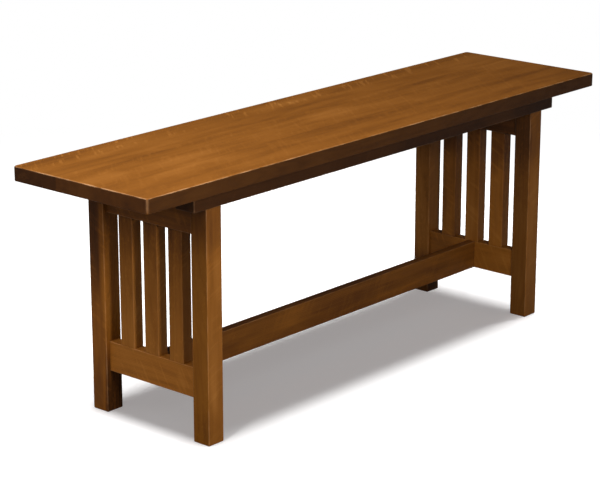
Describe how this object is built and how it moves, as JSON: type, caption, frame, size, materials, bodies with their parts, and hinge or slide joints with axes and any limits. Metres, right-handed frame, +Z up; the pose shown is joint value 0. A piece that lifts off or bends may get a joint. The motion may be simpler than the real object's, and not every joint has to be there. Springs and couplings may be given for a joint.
{
  "type": "trestle bench",
  "caption": "Backless plank-top bench on slatted end panels, joined low down by a stretcher, in stained wood.",
  "frame": {"origin": "on the floor, under the middle of the top", "axes": "+X along the bench, +Y across it towards the back, +Z up"},
  "size_m": [1.2192, 0.309, 0.4572],
  "materials": {
    "top_wood": "stained and satin lacquered",
    "leg_wood": "stained and satin lacquered",
    "rail_wood": "stained and satin lacquered",
    "slat_wood": "stained and satin lacquered",
    "hidden_wood": "bare",
    "screw_steel": "zinc plated"
  },
  "bodies": {
    "root": {"back_long_rail": "rail_wood", "back_rail_screws": "screw_steel", "cleat_screws": "screw_steel", "front_long_rail": "rail_wood", "front_rail_screws": "screw_steel", "left_back_leg": "leg_wood", "left_cleat": "rail_wood", "left_front_leg": "leg_wood", "left_lower_rail": "rail_wood", "left_slat_back": "slat_wood", "left_slat_front": "slat_wood", "left_slat_middle": "slat_wood", "left_top_rail": "rail_wood", "middle_cleat": "rail_wood", "right_back_leg": "leg_wood", "right_cleat": "rail_wood", "right_front_leg": "leg_wood", "right_lower_rail": "rail_wood", "right_slat_back": "slat_wood", "right_slat_front": "slat_wood", "right_slat_middle": "slat_wood", "right_top_rail": "rail_wood", "stretcher": "rail_wood", "top_board_back": "top_wood", "top_board_front": "top_wood", "top_board_middle": "top_wood", "top_spline_back": "hidden_wood", "top_spline_front": "hidden_wood"}
  },
  "joints": []
}
